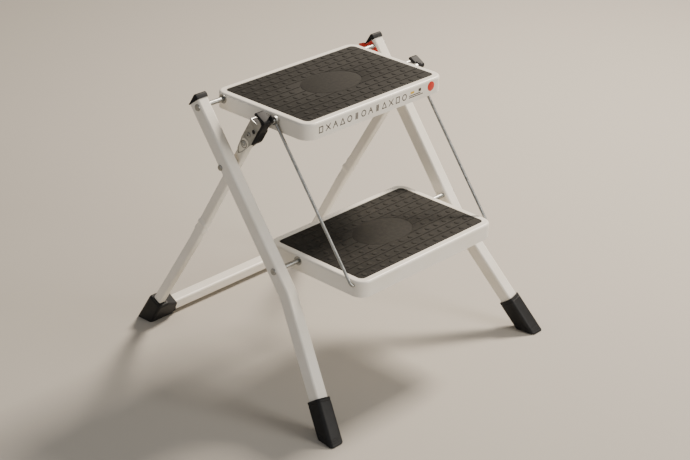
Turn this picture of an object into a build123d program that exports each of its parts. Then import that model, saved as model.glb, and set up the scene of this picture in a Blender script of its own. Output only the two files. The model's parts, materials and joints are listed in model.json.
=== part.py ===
"""Folding two-step ladder: steel tube frames, two tray steps, wire stays and slide latches.

Millimetres. +X is the user's right when facing the steps, -Y is the side one climbs from,
+Z is up, and the origin is on the floor under the middle of the unfolded ladder.
Left-hand pieces are modelled and mirrored across the YZ plane for the right-hand side.
"""
from build123d import *
from math import atan2, cos, hypot, radians, sin, tan
import os

os.makedirs("parts", exist_ok=True)

# Moves the whole ladder back so that the origin is under the middle of its depth
DEPTH_SHIFT = -3.66

# Steps
STEP_WIDTH = 320
STEP_DEPTH = 205
STEP_CORNER = 20
SKIRT = 27
SHEET = 1.5
RIM_WIDTH = 11.5
RIM_ROUND = 4
MAT_THICKNESS = 3
MAT_CORNER = 9
TOP_STEP_Z = 450
LOWER_STEP_Z = 228
TOP_STEP_FRONT = -91.5 + DEPTH_SHIFT
LOWER_STEP_FRONT = -213 + DEPTH_SHIFT

# Cross rods, which carry the steps
ROD_RADIUS = 4
ROD_BELOW_STEP = 9.5
TOP_ROD_Y = 92 + DEPTH_SHIFT
LOWER_ROD_Y = -77.5 + DEPTH_SHIFT
RUNNING_GAP = 0.05

# How far a hole's cutting tool runs past the metal at each end
CUT_MARGIN = 1

# Front legs
LEG_WIDTH = 22
LEG_DEPTH = 24
LEG_CORNER = 4
LEG_WALL = 1.5
LEG_X = 203
ROD_OFFSET = 4
LEG_ABOVE_ROD = 10.5
LEG_BEND = 321
LEG_END = 536
LEG_SPLAY = 11.3
BEND_RADIUS = 120

# Rear frame
REAR_SLOPE = 60.1
REAR_WIDTH = 15
REAR_DEPTH = 16
REAR_CORNER = 3
REAR_WALL = 1.2
REAR_X = 177
REAR_TOP = 88
REAR_BEND = 200
REAR_SPLAY = 3.7
REAR_END = 384
PIVOT_BELOW_ROD = 98.5
PIVOT_BEHIND_RODS = 11.5
PIVOT_RADIUS = 3
BAR_DEPTH = 24
BAR_HEIGHT = 18
BAR_CORNER = 4
BAR_Z = 15
BAR_HALF_LENGTH = 178

# Stays and their studs, measured in the rear leg's plane from the leg pivot
STUD_ALONG = 108
STUD_FORWARD = 15
STUD_RADIUS = 4
STUD_HEAD_RADIUS = 5
WIRE_RADIUS = 2.5
WIRE_X = 164
WIRE_BEND = 6
EYE_RADIUS = 7.5
EYE_THICKNESS = 4.4
EYE_GAP = 0.2

# Leg head brackets and slide latches
PLATE = 1.5
PLATE_GAP = 0.1
PLATE_BACK = 9.6
PLATE_FRONT = 12.4
HEAD_RIVETS_ALONG = (46, 66)
HEAD_RIVET_RADIUS = 2.5
SEAT_GAP = 0.3

# Derived places
top_rod_z = TOP_STEP_Z - ROD_BELOW_STEP
lower_rod_z = LOWER_STEP_Z - ROD_BELOW_STEP
rod_run = TOP_ROD_Y - LOWER_ROD_Y
rod_rise = top_rod_z - lower_rod_z
rod_spacing = hypot(rod_run, rod_rise)
leg_slope = atan2(rod_rise, rod_run)
rear_slope = radians(REAR_SLOPE)

# Front leg plane: X across, Y up along the legs, Z out of their front faces, through both rods.
front_plane = Plane(
    origin=(0, TOP_ROD_Y, top_rod_z), x_dir=(1, 0, 0), z_dir=(0, -sin(leg_slope), cos(leg_slope))
)
pivot = front_plane.from_local_coords(Vector(0, -PIVOT_BELOW_ROD, -PIVOT_BEHIND_RODS))

# Rear leg plane: X across, Y up along the rear legs, Z out of their front faces, through the pivot.
rear_plane = Plane(
    origin=(0, pivot.Y, pivot.Z), x_dir=(1, 0, 0), z_dir=(0, -sin(rear_slope), -cos(rear_slope))
)
stud = rear_plane.from_local_coords(Vector(0, STUD_ALONG, STUD_FORWARD))
hook = Vector(0, stud.Y - rod_run, stud.Z - rod_rise)
step_side = STEP_WIDTH / 2
leg_inner = LEG_X - LEG_WIDTH / 2
leg_outer = LEG_X + LEG_WIDTH / 2
rear_inner = REAR_X - REAR_WIDTH / 2
rear_outer = REAR_X + REAR_WIDTH / 2


def side_plane(x, y, z):
    """Plane facing the left side (-X) with its own X along +Y reversed, through the given point."""
    return Plane(origin=(x, y, z), x_dir=(0, -1, 0), z_dir=(-1, 0, 0))


def rear_side_plane(x):
    """Side plane at x whose X is the rear leg's forward direction and whose Y runs up the leg."""
    return Plane(origin=(x, pivot.Y, pivot.Z), x_dir=rear_plane.z_dir, z_dir=(-1, 0, 0))


def save(piece, label):
    """Label a finished piece and write its STEP file."""
    piece.part.label = label
    export_step(piece.part, f"parts/{label}.step")


def save_mirrored(piece, label):
    """Write the right-hand twin of a left-hand piece."""
    with BuildPart() as twin:
        mirror(objects=piece.part, about=Plane.YZ)
    save(twin, label)


def save_pair(piece, label):
    """Write a small left-hand piece and its right-hand twin as one node."""
    with BuildPart() as pair:
        add(piece.part)
        mirror(objects=piece.part, about=Plane.YZ)
    save(pair, label)


# ---------------------------------------------------------------- front frame
leg_centre_plane = front_plane.offset(-ROD_OFFSET)
splay = radians(LEG_SPLAY)


def lower_leg_x(along):
    """Centre of the left front leg at a distance below the top rod."""
    return -LEG_X - (along - LEG_BEND) * tan(splay)


with BuildPart() as front_leg_left:
    with BuildLine(leg_centre_plane):
        leg_path = FilletPolyline(
            (-LEG_X, LEG_ABOVE_ROD),
            (-LEG_X, -LEG_BEND),
            (lower_leg_x(LEG_END), -LEG_END),
            radius=BEND_RADIUS,
        )
    with BuildSketch(Plane(origin=leg_path @ 0, x_dir=(1, 0, 0), z_dir=leg_path % 0)):
        RectangleRounded(LEG_WIDTH, LEG_DEPTH, LEG_CORNER)
        RectangleRounded(
            LEG_WIDTH - 2 * LEG_WALL, LEG_DEPTH - 2 * LEG_WALL, LEG_CORNER - LEG_WALL, mode=Mode.SUBTRACT
        )
    sweep(path=leg_path)
    for hole_y, hole_z, hole_radius in (
        (TOP_ROD_Y, top_rod_z, ROD_RADIUS),
        (LOWER_ROD_Y, lower_rod_z, ROD_RADIUS),
        (pivot.Y, pivot.Z, PIVOT_RADIUS),
    ):
        with BuildSketch(side_plane(-leg_inner + CUT_MARGIN, hole_y, hole_z)):
            Circle(hole_radius + RUNNING_GAP)
        extrude(amount=LEG_WIDTH + 2 * CUT_MARGIN, mode=Mode.SUBTRACT)
save(front_leg_left, "front_leg_left")
save_mirrored(front_leg_left, "front_leg_right")

RIVET_HEAD_RADIUS = 5.5
RIVET_HEAD_HEIGHT = 2


def build_rod(rod_y, rod_z):
    """Plain rod across the ladder with a peened head on the outside of each leg."""
    with BuildPart() as rod:
        with BuildSketch(side_plane(leg_outer, rod_y, rod_z)):
            Circle(ROD_RADIUS)
        extrude(amount=2 * leg_outer)
        for end in (leg_outer + RIVET_HEAD_HEIGHT, -leg_outer):
            with BuildSketch(side_plane(end, rod_y, rod_z)):
                Circle(RIVET_HEAD_RADIUS)
            extrude(amount=RIVET_HEAD_HEIGHT)
        fillet(rod.edges().group_by(Axis.X)[0], RIVET_HEAD_HEIGHT * 0.6)
        fillet(rod.edges().group_by(Axis.X)[-1], RIVET_HEAD_HEIGHT * 0.6)
    return rod


top_rod = build_rod(TOP_ROD_Y, top_rod_z)
save(top_rod, "top_rod")
lower_rod = build_rod(LOWER_ROD_Y, lower_rod_z)
save(lower_rod, "lower_rod")

CAP_HEIGHT = 10
CAP_OVERHANG = 1
CAP_CHAMFER = 2.5
CAP_BACK_HEIGHT = 1.2
CAP_RIDGE = 8.6
CAP_PLUG = 5
CAP_FIT = 0.2
cap_half_depth = LEG_DEPTH / 2 + CAP_OVERHANG
cap_fall = (CAP_HEIGHT - CAP_BACK_HEIGHT) / (CAP_RIDGE + cap_half_depth)
cap_side_plane = Plane(
    origin=(-leg_inner + CAP_OVERHANG + CUT_MARGIN, (leg_path @ 0).Y, (leg_path @ 0).Z),
    x_dir=front_plane.z_dir,
    z_dir=(-1, 0, 0),
)
with BuildPart() as leg_cap_left:
    with BuildSketch(Plane(origin=leg_path @ 0, x_dir=(1, 0, 0), z_dir=leg_path % 0)):
        RectangleRounded(LEG_WIDTH + 2 * CAP_OVERHANG, LEG_DEPTH + 2 * CAP_OVERHANG, LEG_CORNER)
    extrude(amount=-CAP_HEIGHT)
    cap_top = leg_cap_left.faces().sort_by(Axis(origin=(0, 0, 0), direction=front_plane.y_dir))[-1]
    chamfer(cap_top.edges(), CAP_CHAMFER)
    # The top falls from a ridge near the front face to a low back edge
    with BuildSketch(cap_side_plane):
        with BuildLine():
            Polyline(
                (-cap_half_depth - CUT_MARGIN, CAP_BACK_HEIGHT - CUT_MARGIN * cap_fall),
                (CAP_RIDGE + CUT_MARGIN, CAP_HEIGHT + CUT_MARGIN * cap_fall),
                (-cap_half_depth - CUT_MARGIN, CAP_HEIGHT + CUT_MARGIN * cap_fall),
                close=True,
            )
        make_face()
    extrude(amount=LEG_WIDTH + 2 * CAP_OVERHANG + 2 * CUT_MARGIN, mode=Mode.SUBTRACT)
    with BuildSketch(Plane(origin=leg_path @ 0, x_dir=(1, 0, 0), z_dir=leg_path % 0)):
        RectangleRounded(
            LEG_WIDTH - 2 * LEG_WALL - CAP_FIT, LEG_DEPTH - 2 * LEG_WALL - CAP_FIT, LEG_CORNER - LEG_WALL
        )
    extrude(amount=CAP_PLUG)
save(leg_cap_left, "leg_cap_left")
save_mirrored(leg_cap_left, "leg_cap_right")

FOOT_START = 486
FOOT_WALL = 3
FOOT_FIT = 0.1
FOOT_LENGTH = 110
SOLE_ROUND = 2.5
lower_direction = leg_path % 1
foot_origin = leg_centre_plane.from_local_coords(Vector(lower_leg_x(FOOT_START), -FOOT_START, 0))
leg_end_point = leg_path @ 1
with BuildPart() as front_foot_left:
    with BuildSketch(Plane(origin=foot_origin, x_dir=(1, 0, 0), z_dir=lower_direction)):
        RectangleRounded(LEG_WIDTH + 2 * FOOT_WALL, LEG_DEPTH + 2 * FOOT_WALL, LEG_CORNER + FOOT_WALL - 1)
    extrude(amount=FOOT_LENGTH)
    with BuildSketch(Plane(origin=foot_origin, x_dir=(1, 0, 0), z_dir=lower_direction)):
        RectangleRounded(LEG_WIDTH + FOOT_FIT, LEG_DEPTH + FOOT_FIT, LEG_CORNER)
    extrude(amount=(leg_end_point - foot_origin).length + FOOT_FIT, mode=Mode.SUBTRACT)
    split(bisect_by=Plane.XY, keep=Keep.TOP)
    fillet(front_foot_left.faces().sort_by(Axis.Z)[0].edges(), SOLE_ROUND)
save(front_foot_left, "front_foot_left")
save_mirrored(front_foot_left, "front_foot_right")

PIVOT_HEAD_RADIUS = 4.8
PIVOT_HEAD = 2
PIVOT_GAP = 0.3
with BuildPart() as pivot_rivet:
    with BuildSketch(side_plane(-rear_inner + PIVOT_HEAD + PIVOT_GAP, pivot.Y, pivot.Z)):
        Circle(PIVOT_HEAD_RADIUS)
    extrude(amount=PIVOT_HEAD)
    with BuildSketch(side_plane(-rear_inner + PIVOT_HEAD, pivot.Y, pivot.Z)):
        Circle(PIVOT_RADIUS)
    extrude(amount=leg_outer - rear_inner + PIVOT_HEAD)
    with BuildSketch(side_plane(-leg_outer, pivot.Y, pivot.Z)):
        Circle(PIVOT_HEAD_RADIUS)
    extrude(amount=PIVOT_HEAD)
    fillet(pivot_rivet.edges().group_by(Axis.X)[0], PIVOT_HEAD * 0.6)
save_pair(pivot_rivet, "pivot_rivets")

SPACER_RADIUS = 7
with BuildPart() as pivot_spacer:
    with BuildSketch(side_plane(-rear_outer - PIVOT_GAP, pivot.Y, pivot.Z)):
        Circle(SPACER_RADIUS)
        Circle(PIVOT_RADIUS + RUNNING_GAP, mode=Mode.SUBTRACT)
    extrude(amount=leg_inner - rear_outer - PIVOT_GAP)
save_pair(pivot_spacer, "pivot_spacers")

# ---------------------------------------------------------------- steps
BUSH_SLEEVE_RADIUS = 6
BUSH_FLANGE_RADIUS = 7.5
BUSH_FLANGE = 1.2


def build_tray(front_y, top_z, side_holes):
    """Pressed tray: rounded rim, recess for the mat, skirt all round, open underneath."""
    middle = front_y + STEP_DEPTH / 2
    with BuildPart() as tray:
        with BuildSketch(Plane.XY.offset(top_z - SKIRT)):
            with Locations((0, middle)):
                RectangleRounded(STEP_WIDTH, STEP_DEPTH, STEP_CORNER)
        extrude(amount=SKIRT)
        fillet(tray.faces().sort_by(Axis.Z)[-1].edges(), RIM_ROUND)
        with BuildSketch(Plane.XY.offset(top_z)):
            with Locations((0, middle)):
                RectangleRounded(
                    STEP_WIDTH - 2 * RIM_WIDTH, STEP_DEPTH - 2 * RIM_WIDTH, MAT_CORNER
                )
        extrude(amount=-MAT_THICKNESS, mode=Mode.SUBTRACT)
        with BuildSketch(Plane.XY.offset(top_z - SKIRT)):
            with Locations((0, middle)):
                RectangleRounded(
                    STEP_WIDTH - 2 * SHEET, STEP_DEPTH - 2 * SHEET, STEP_CORNER - SHEET
                )
        extrude(amount=SKIRT - MAT_THICKNESS - SHEET, mode=Mode.SUBTRACT)
        for hole_y, hole_z, hole_radius in side_holes:
            with BuildSketch(side_plane(step_side + CUT_MARGIN, hole_y, hole_z)):
                Circle(hole_radius)
            extrude(amount=STEP_WIDTH + 2 * CUT_MARGIN, mode=Mode.SUBTRACT)
    return tray


def build_mat(front_y, top_z):
    """Rubber mat that fills the tray's recess."""
    middle = front_y + STEP_DEPTH / 2
    with BuildPart() as mat:
        with BuildSketch(Plane.XY.offset(top_z - MAT_THICKNESS)):
            with Locations((0, middle)):
                RectangleRounded(
                    STEP_WIDTH - 2 * RIM_WIDTH - 0.4, STEP_DEPTH - 2 * RIM_WIDTH - 0.4, MAT_CORNER
                )
        extrude(amount=MAT_THICKNESS)
    return mat


def build_bush(rod_y, rod_z):
    """Flanged bush in the tray's left skirt, running on the rod."""
    with BuildPart() as bush:
        with BuildSketch(side_plane(-step_side, rod_y, rod_z)):
            Circle(BUSH_FLANGE_RADIUS)
        extrude(amount=BUSH_FLANGE)
        with BuildSketch(side_plane(-step_side, rod_y, rod_z)):
            Circle(BUSH_SLEEVE_RADIUS)
        extrude(amount=-SHEET - BUSH_FLANGE)
        with BuildSketch(side_plane(-step_side + SHEET + BUSH_FLANGE + CUT_MARGIN, rod_y, rod_z)):
            Circle(ROD_RADIUS + RUNNING_GAP)
        extrude(amount=SHEET + 2 * BUSH_FLANGE + 2 * CUT_MARGIN, mode=Mode.SUBTRACT)
    return bush


HOOK_CLEARANCE = 0.5
top_tray = build_tray(
    TOP_STEP_FRONT,
    TOP_STEP_Z,
    ((TOP_ROD_Y, top_rod_z, BUSH_SLEEVE_RADIUS), (stud.Y, stud.Z, STUD_RADIUS)),
)
save(top_tray, "top_tray")
top_mat = build_mat(TOP_STEP_FRONT, TOP_STEP_Z)
save(top_mat, "top_mat")
save_pair(build_bush(TOP_ROD_Y, top_rod_z), "top_bushes")

lower_tray = build_tray(
    LOWER_STEP_FRONT,
    LOWER_STEP_Z,
    ((LOWER_ROD_Y, lower_rod_z, BUSH_SLEEVE_RADIUS), (hook.Y, hook.Z, WIRE_RADIUS + HOOK_CLEARANCE)),
)
save(lower_tray, "lower_tray")
lower_mat = build_mat(LOWER_STEP_FRONT, LOWER_STEP_Z)
save(lower_mat, "lower_mat")
save_pair(build_bush(LOWER_ROD_Y, lower_rod_z), "lower_bushes")

STUD_END_X = 169.3
STUD_SHOULDER = 1.6
STUD_SHOULDER_RADIUS = 6
STUD_TAIL = 1.5
STUD_HEAD_ROUND = 1.2
eye_inner_x = WIRE_X - EYE_THICKNESS / 2
eye_outer_x = WIRE_X + EYE_THICKNESS / 2
with BuildPart() as stay_stud:
    with BuildSketch(side_plane(-step_side + SHEET + STUD_TAIL, stud.Y, stud.Z)):
        Circle(STUD_RADIUS)
    extrude(amount=STUD_END_X - step_side + SHEET + STUD_TAIL)
    with BuildSketch(side_plane(-step_side, stud.Y, stud.Z)):
        Circle(STUD_SHOULDER_RADIUS)
    extrude(amount=STUD_SHOULDER)
    with BuildSketch(side_plane(-eye_outer_x - EYE_GAP, stud.Y, stud.Z)):
        Circle(STUD_HEAD_RADIUS)
    extrude(amount=STUD_END_X - eye_outer_x - EYE_GAP)
    fillet(stay_stud.edges().group_by(Axis.X)[0], STUD_HEAD_ROUND)
save_pair(stay_stud, "stay_studs")

# ---------------------------------------------------------------- wire stays
HOOK_END_X = 150
WIRE_INTO_EYE = 1.5
stay_plane = Plane(origin=(0, stud.Y, stud.Z), x_dir=(1, 0, 0), z_dir=front_plane.z_dir)
with BuildPart() as stay_left:
    with BuildSketch(side_plane(-eye_inner_x, stud.Y, stud.Z)):
        Circle(EYE_RADIUS)
        Circle(STUD_RADIUS + RUNNING_GAP, mode=Mode.SUBTRACT)
    extrude(amount=EYE_THICKNESS)
    with BuildLine(stay_plane):
        stay_path = FilletPolyline(
            (-WIRE_X, WIRE_INTO_EYE - EYE_RADIUS),
            (-WIRE_X, -rod_spacing),
            (-HOOK_END_X, -rod_spacing),
            radius=WIRE_BEND,
        )
    with BuildSketch(Plane(origin=stay_path @ 0, x_dir=(1, 0, 0), z_dir=stay_path % 0)):
        Circle(WIRE_RADIUS)
    sweep(path=stay_path)
save(stay_left, "stay_left")
save_mirrored(stay_left, "stay_right")

# ---------------------------------------------------------------- rear frame
rear_splay = radians(REAR_SPLAY)


def rear_leg_x(along):
    """Centre of the left rear leg at a distance below the pivot."""
    return -REAR_X - (along - REAR_BEND) * tan(rear_splay)


with BuildPart() as rear_leg_left:
    with BuildLine(rear_plane):
        rear_path = FilletPolyline(
            (-REAR_X, REAR_TOP),
            (-REAR_X, -REAR_BEND),
            (rear_leg_x(REAR_END), -REAR_END),
            radius=BEND_RADIUS,
        )
    with BuildSketch(Plane(origin=rear_path @ 0, x_dir=(1, 0, 0), z_dir=rear_path % 0)):
        RectangleRounded(REAR_WIDTH, REAR_DEPTH, REAR_CORNER)
        RectangleRounded(
            REAR_WIDTH - 2 * REAR_WALL,
            REAR_DEPTH - 2 * REAR_WALL,
            REAR_CORNER - REAR_WALL,
            mode=Mode.SUBTRACT,
        )
    sweep(path=rear_path)
    with BuildSketch(side_plane(-rear_inner + CUT_MARGIN, pivot.Y, pivot.Z)):
        Circle(PIVOT_RADIUS + RUNNING_GAP)
    extrude(amount=REAR_WIDTH + 2 * CUT_MARGIN, mode=Mode.SUBTRACT)
    for rivet_along in HEAD_RIVETS_ALONG:
        rivet_point = rear_plane.from_local_coords(Vector(0, rivet_along, 0))
        with BuildSketch(side_plane(-rear_inner + CUT_MARGIN, rivet_point.Y, rivet_point.Z)):
            Circle(HEAD_RIVET_RADIUS)
        extrude(amount=REAR_WIDTH + 2 * CUT_MARGIN, mode=Mode.SUBTRACT)
save(rear_leg_left, "rear_leg_left")
save_mirrored(rear_leg_left, "rear_leg_right")

BAR_TUBE_WALL = 1.5
bar_y = pivot.Y + (pivot.Z - BAR_Z) / tan(rear_slope)
with BuildPart() as rear_crossbar:
    with BuildSketch(side_plane(BAR_HALF_LENGTH, bar_y, BAR_Z)):
        RectangleRounded(BAR_DEPTH, BAR_HEIGHT, BAR_CORNER)
        RectangleRounded(
            BAR_DEPTH - 2 * BAR_TUBE_WALL,
            BAR_HEIGHT - 2 * BAR_TUBE_WALL,
            BAR_CORNER - BAR_TUBE_WALL,
            mode=Mode.SUBTRACT,
        )
    extrude(amount=2 * BAR_HALF_LENGTH)
save(rear_crossbar, "rear_crossbar")

REAR_FOOT_TOP = 360
REAR_FOOT_BOTTOM = 432
REAR_FOOT_INNER_X = 150
REAR_FOOT_SHOULDER = 374
REAR_FOOT_HALF_THICKNESS = 15
REAR_FOOT_WALL = 3
REAR_FOOT_ROUND = 4
REAR_FOOT_FIT = 0.1
rear_end_point = rear_path @ 1
foot_half_width = REAR_WIDTH / 2 + REAR_FOOT_WALL
with BuildPart() as rear_foot_left:
    with BuildSketch(rear_plane):
        with BuildLine():
            Polyline(
                (rear_leg_x(REAR_FOOT_TOP) - foot_half_width, -REAR_FOOT_TOP),
                (rear_leg_x(REAR_FOOT_TOP) + foot_half_width, -REAR_FOOT_TOP),
                (-REAR_FOOT_INNER_X, -REAR_FOOT_SHOULDER),
                (-REAR_FOOT_INNER_X, -REAR_FOOT_BOTTOM),
                (rear_leg_x(REAR_FOOT_BOTTOM) - foot_half_width, -REAR_FOOT_BOTTOM),
                close=True,
            )
        make_face()
    extrude(amount=REAR_FOOT_HALF_THICKNESS, both=True)
    fillet(rear_foot_left.edges(), REAR_FOOT_ROUND)
    split(bisect_by=Plane.XY, keep=Keep.TOP)
    with BuildSketch(side_plane(-REAR_FOOT_INNER_X + CUT_MARGIN, bar_y, BAR_Z)):
        RectangleRounded(BAR_DEPTH + REAR_FOOT_FIT, BAR_HEIGHT + REAR_FOOT_FIT, BAR_CORNER)
    extrude(amount=BAR_HALF_LENGTH - REAR_FOOT_INNER_X + CUT_MARGIN + REAR_FOOT_FIT, mode=Mode.SUBTRACT)
    with BuildSketch(Plane(origin=rear_end_point, x_dir=(1, 0, 0), z_dir=rear_path % 1)):
        RectangleRounded(REAR_WIDTH + REAR_FOOT_FIT, REAR_DEPTH + REAR_FOOT_FIT, REAR_CORNER)
    extrude(amount=REAR_FOOT_TOP - REAR_END - 4 * CUT_MARGIN, mode=Mode.SUBTRACT)
save(rear_foot_left, "rear_foot_left")
save_mirrored(rear_foot_left, "rear_foot_right")

# Leg head bracket: two plates either side of the tube, joined by a web behind it. The stud's
# head rests on the inner plate's sloping seat, which leaves its way out forwards and down free.
seat_slope = radians(32)
seat_distance = STUD_HEAD_RADIUS + SEAT_GAP
seat_forward = STUD_FORWARD - seat_distance * sin(seat_slope)
seat_along = STUD_ALONG - seat_distance * cos(seat_slope)


def seat_height(forward):
    """Height up the leg of the seat's slope at a distance forward of the leg's centre."""
    return seat_along - (forward - seat_forward) * tan(seat_slope)


NECK_BACK = 4.9
NECK_GAP = 0.5
PLATE_TOP = 94
PLATE_WEB_START = 50
END_PLUG_TOP = 94.6
SEAT_BACK = 9
SEAT_FRONT = 16
# Outline points as (forward of the leg's centre, up along the leg)
plate_tail = [(-PLATE_BACK, PLATE_TOP), (-PLATE_BACK, 56), (-7, 30), (-1, 22), (4, 30), (PLATE_FRONT, 56)]
outer_plate_head = [
    (PLATE_FRONT, 100.5),
    (SEAT_BACK, 103),
    (NECK_BACK + NECK_GAP, 103),
    (NECK_BACK + NECK_GAP, END_PLUG_TOP),
]
inner_plate_head = [
    (PLATE_FRONT, 96.5),
    (SEAT_FRONT, 98),
    (SEAT_FRONT, seat_height(SEAT_FRONT)),
    (SEAT_BACK, seat_height(SEAT_BACK)),
    (NECK_BACK + NECK_GAP, seat_height(SEAT_BACK)),
    (NECK_BACK + NECK_GAP, END_PLUG_TOP),
]
outer_plate_x = rear_outer + PLATE_GAP
inner_plate_x = rear_inner - PLATE_GAP - PLATE
with BuildPart() as leg_head_left:
    for plate_x, head in ((outer_plate_x, outer_plate_head), (inner_plate_x, inner_plate_head)):
        with BuildSketch(rear_side_plane(-plate_x)):
            with BuildLine():
                Polyline(*plate_tail, *head, close=True)
            make_face()
        extrude(amount=PLATE)
    with BuildSketch(rear_side_plane(-inner_plate_x)):
        with Locations((-PLATE_BACK + PLATE / 2, (PLATE_WEB_START + PLATE_TOP) / 2)):
            Rectangle(PLATE, PLATE_TOP - PLATE_WEB_START)
    extrude(amount=outer_plate_x + PLATE - inner_plate_x)
    for rivet_along in HEAD_RIVETS_ALONG:
        with BuildSketch(rear_side_plane(-inner_plate_x + CUT_MARGIN)):
            with Locations((0, rivet_along)):
                Circle(HEAD_RIVET_RADIUS)
        extrude(amount=outer_plate_x + PLATE - inner_plate_x + 2 * CUT_MARGIN, mode=Mode.SUBTRACT)
save(leg_head_left, "leg_head_left")
save_mirrored(leg_head_left, "leg_head_right")

HEAD_RIVET_HEAD_RADIUS = 4.5
HEAD_RIVET_OUTER = 1.4
HEAD_RIVET_INNER = 0.8
HEAD_RIVET_ROUND = 0.9
HEAD_RIVET_BORE = 1.5
HEAD_RIVET_BORE_DEPTH = 4
outer_face_x = outer_plate_x + PLATE
with BuildPart() as leg_head_rivet:
    for rivet_along in HEAD_RIVETS_ALONG:
        with BuildSketch(rear_side_plane(-inner_plate_x + HEAD_RIVET_INNER)):
            with Locations((0, rivet_along)):
                Circle(HEAD_RIVET_HEAD_RADIUS)
        extrude(amount=HEAD_RIVET_INNER)
        with BuildSketch(rear_side_plane(-inner_plate_x)):
            with Locations((0, rivet_along)):
                Circle(HEAD_RIVET_RADIUS)
        extrude(amount=outer_face_x - inner_plate_x)
        with BuildSketch(rear_side_plane(-outer_face_x)):
            with Locations((0, rivet_along)):
                Circle(HEAD_RIVET_HEAD_RADIUS)
        extrude(amount=HEAD_RIVET_OUTER)
    fillet(leg_head_rivet.edges().group_by(Axis.X)[0], HEAD_RIVET_ROUND)
    for rivet_along in HEAD_RIVETS_ALONG:
        with BuildSketch(rear_side_plane(-outer_face_x - HEAD_RIVET_OUTER)):
            with Locations((0, rivet_along)):
                Circle(HEAD_RIVET_BORE)
        extrude(amount=-HEAD_RIVET_BORE_DEPTH, mode=Mode.SUBTRACT)
save_pair(leg_head_rivet, "leg_head_rivets")

PLUG_TAIL = 8
PLUG_FIT = 0.6
PLUG_HEAD_FIT = 0.2
with BuildPart() as leg_end_plug:
    with BuildSketch(rear_plane):
        with Locations((-REAR_X, (REAR_TOP + END_PLUG_TOP) / 2)):
            Rectangle(REAR_WIDTH - PLUG_HEAD_FIT, END_PLUG_TOP - REAR_TOP)
    extrude(amount=REAR_DEPTH / 2, both=True)
    with BuildSketch(rear_plane):
        with Locations((-REAR_X, REAR_TOP - PLUG_TAIL / 2)):
            Rectangle(REAR_WIDTH - 2 * REAR_WALL - 2 * PLUG_FIT, PLUG_TAIL)
    extrude(amount=REAR_DEPTH / 2 - REAR_WALL - PLUG_FIT, both=True)
save_pair(leg_end_plug, "leg_end_plugs")

# Slide latch: a rib between the plates, a cover in front, a head over the plates and a hook over
# the stud's head. From COVER_STEP up the cover is narrower, to pass the inner plate's seat.
LATCH_BOTTOM = 57
LATCH_RIB_BACK = REAR_DEPTH / 2 + 0.3
LATCH_RIB_GAP = 0.3
LATCH_TOP = 110.5
NECK_BOTTOM = 96
COVER_BACK = PLATE_FRONT + 0.3
COVER_FRONT = 16.5
COVER_STEP = 90
COVER_UPPER_INNER_X = 170.2
HEAD_BACK = -8
HEAD_BOTTOM = 104.5
HOOK_BOTTOM = STUD_ALONG + STUD_HEAD_RADIUS + 0.6
HOOK_TOP = 116.8
HOOK_OUTER_X = 173.2
LATCH_OUTER_X = 187
LATCH_INNER_X = 167.2
rib_outer_x = rear_outer - LATCH_RIB_GAP
rib_inner_x = rear_inner + LATCH_RIB_GAP
with BuildPart() as latch_left:
    with BuildSketch(rear_side_plane(-rib_inner_x)):
        with BuildLine():
            Polyline(
                (LATCH_RIB_BACK, LATCH_BOTTOM),
                (COVER_BACK, LATCH_BOTTOM),
                (COVER_BACK, LATCH_TOP - 1),
                (NECK_BACK, LATCH_TOP - 1),
                (NECK_BACK, NECK_BOTTOM),
                (LATCH_RIB_BACK, NECK_BOTTOM),
                close=True,
            )
        make_face()
    extrude(amount=rib_outer_x - rib_inner_x)
    with BuildSketch(rear_side_plane(-LATCH_INNER_X)):
        with BuildLine():
            Polyline(
                (COVER_BACK, LATCH_BOTTOM),
                (COVER_FRONT - 2, LATCH_BOTTOM),
                (COVER_FRONT, LATCH_BOTTOM + 6),
                (COVER_FRONT, COVER_STEP - 3),
                (COVER_BACK, COVER_STEP),
                close=True,
            )
        make_face()
    extrude(amount=LATCH_OUTER_X - LATCH_INNER_X)
    with BuildSketch(rear_side_plane(-COVER_UPPER_INNER_X)):
        with BuildLine():
            Polyline(
                (COVER_BACK, COVER_STEP - 3),
                (COVER_FRONT, COVER_STEP - 3),
                (COVER_FRONT, LATCH_TOP - 2),
                (COVER_FRONT - 2, LATCH_TOP),
                (HEAD_BACK + 2, LATCH_TOP),
                (HEAD_BACK, LATCH_TOP - 2),
                (HEAD_BACK, HEAD_BOTTOM),
                (COVER_BACK, HEAD_BOTTOM),
                close=True,
            )
        make_face()
    extrude(amount=LATCH_OUTER_X - COVER_UPPER_INNER_X)
    with BuildSketch(rear_side_plane(-COVER_UPPER_INNER_X)):
        with BuildLine():
            Polyline(
                (SEAT_BACK, HEAD_BOTTOM),
                (COVER_FRONT, HEAD_BOTTOM),
                (COVER_FRONT, HOOK_TOP - 2),
                (COVER_FRONT - 2, HOOK_TOP),
                (SEAT_BACK, HOOK_TOP),
                close=True,
            )
        make_face()
    extrude(amount=HOOK_OUTER_X - COVER_UPPER_INNER_X)
    with BuildSketch(rear_side_plane(-LATCH_INNER_X)):
        with BuildLine():
            Polyline(
                (SEAT_BACK, HOOK_BOTTOM),
                (COVER_FRONT, HOOK_BOTTOM),
                (COVER_FRONT, HOOK_TOP - 2),
                (COVER_FRONT - 2, HOOK_TOP),
                (SEAT_BACK, HOOK_TOP),
                close=True,
            )
        make_face()
    extrude(amount=HOOK_OUTER_X - LATCH_INNER_X)
save(latch_left, "latch_left")
save_mirrored(latch_left, "latch_right")
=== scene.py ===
"""Folding two-step ladder: mats, boots, caps, latches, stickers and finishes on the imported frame.

The row frame is in metres: +X is the right of a person facing the steps, -Y is that person's side,
+Z is up and the origin is on the floor under the ladder. Sizes in the classes are in millimetres.
"""

import json
import logging
import math
from dataclasses import dataclass
from enum import Enum
from typing import Any, Mapping, Optional, Sequence, Union

import bmesh
import bpy
from mathutils import Matrix, Vector

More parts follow.
